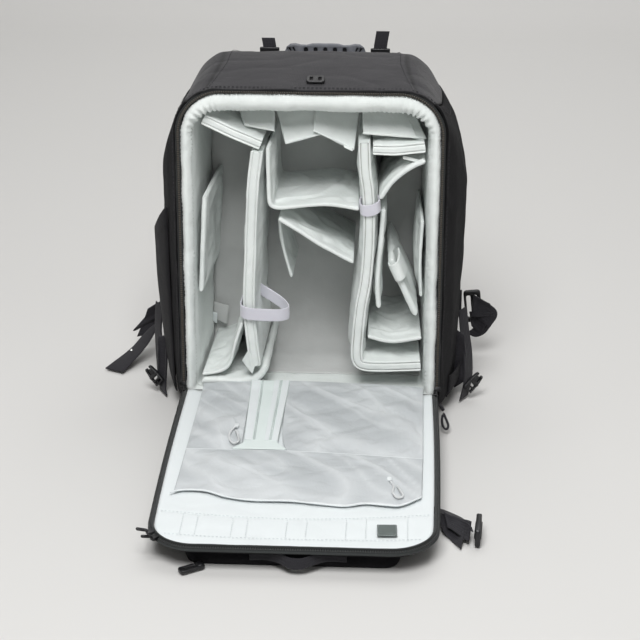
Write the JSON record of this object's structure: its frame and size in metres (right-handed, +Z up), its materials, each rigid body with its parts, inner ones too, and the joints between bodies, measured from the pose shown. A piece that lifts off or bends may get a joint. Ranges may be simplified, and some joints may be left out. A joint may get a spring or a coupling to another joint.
{
  "type": "camera backpack",
  "caption": "Large camera backpack standing open, its front panel laid forward on the floor, with a padded pale lining, soft dividers, shelves, mesh lid pockets and a harness.",
  "frame": {"origin": "the middle of the flat base of the bag, on the floor", "axes": "+Z up, +Y from the open front to the harness, +X to the right as seen from the open front"},
  "size_m": [0.5018, 0.6121, 0.4261],
  "materials": {
    "shell_fabric": "charcoal woven nylon with a coated back, matt",
    "stretch_fabric": "black stretch knit, matt",
    "lining_fabric": "pale brushed polyester over foam, matt",
    "back_panel_fabric": "grey brushed polyester, matt",
    "loop_fabric": "pale brushed hook-and-loop strap, matt",
    "lid_lining": "near-white plain woven polyester, faint sheen",
    "mesh_fabric": "pale grey fine mesh",
    "binding_tape": "dark grey woven tape with a coil zip, matt",
    "webbing": "black woven polypropylene webbing",
    "harness_fabric": "black padded nylon and air mesh",
    "buckle_plastic": "black moulded acetal, satin",
    "handle_rubber": "blue-grey moulded rubber, matt",
    "cord": "white braided cord",
    "zip_metal": "black painted zinc zip slider",
    "label_patch": "grey-green moulded patch, plain"
  },
  "bodies": {
    "root": {"shell_top": "shell_fabric", "shell_left": "shell_fabric", "shell_right": "shell_fabric", "shell_base": "shell_fabric", "shell_back": "shell_fabric", "front_sill": "shell_fabric", "lining_rim": "lining_fabric", "lining_back": "back_panel_fabric", "divider_left": "lining_fabric", "divider_right": "lining_fabric", "divider_top_left": "lining_fabric", "divider_top_right": "lining_fabric", "shelf_centre_upper": "lining_fabric", "shelf_centre_lower": "lining_fabric", "flap_centre": "lining_fabric", "divider_right_curved": "lining_fabric", "divider_right_slanted": "lining_fabric", "flap_right": "lining_fabric", "shelf_right_lower": "lining_fabric", "pad_left": "lining_fabric", "pad_right": "lining_fabric", "shelf_left_lower": "lining_fabric", "divider_left_foot": "lining_fabric", "top_flap_1": "lining_fabric", "top_flap_2": "lining_fabric", "top_flap_3": "lining_fabric", "top_flap_4": "lining_fabric", "divider_loop_left": "loop_fabric", "divider_loop_right": "loop_fabric", "pocket_left": "stretch_fabric", "pocket_right": "stretch_fabric", "top_tab": "buckle_plastic", "carry_handle": "handle_rubber", "ladder_lock_left": "buckle_plastic", "ladder_lock_right": "buckle_plastic", "lifter_web_left": "webbing", "lifter_web_right": "webbing", "back_pad": "harness_fabric", "shoulder_strap_left": "harness_fabric", "shoulder_strap_right": "harness_fabric", "hip_wing_left": "harness_fabric", "hip_wing_right": "harness_fabric", "hip_web_left": "webbing", "hip_buckle_right": "buckle_plastic", "hip_web_right": "webbing", "side_strap_left": "webbing", "side_buckle_left": "buckle_plastic", "side_strap_right": "webbing", "side_buckle_right": "buckle_plastic", "lid_panel": "lid_lining", "lid_binding": "binding_tape", "lid_shell": "shell_fabric", "mesh_pockets": "mesh_fabric", "zip_band": "lid_lining", "pull_cord_left": "cord", "pull_cord_front": "cord", "grab_loop": "webbing", "lid_buckle_left": "buckle_plastic", "lid_strap_right": "webbing", "lid_buckle_right": "buckle_plastic"}
  },
  "joints": []
}
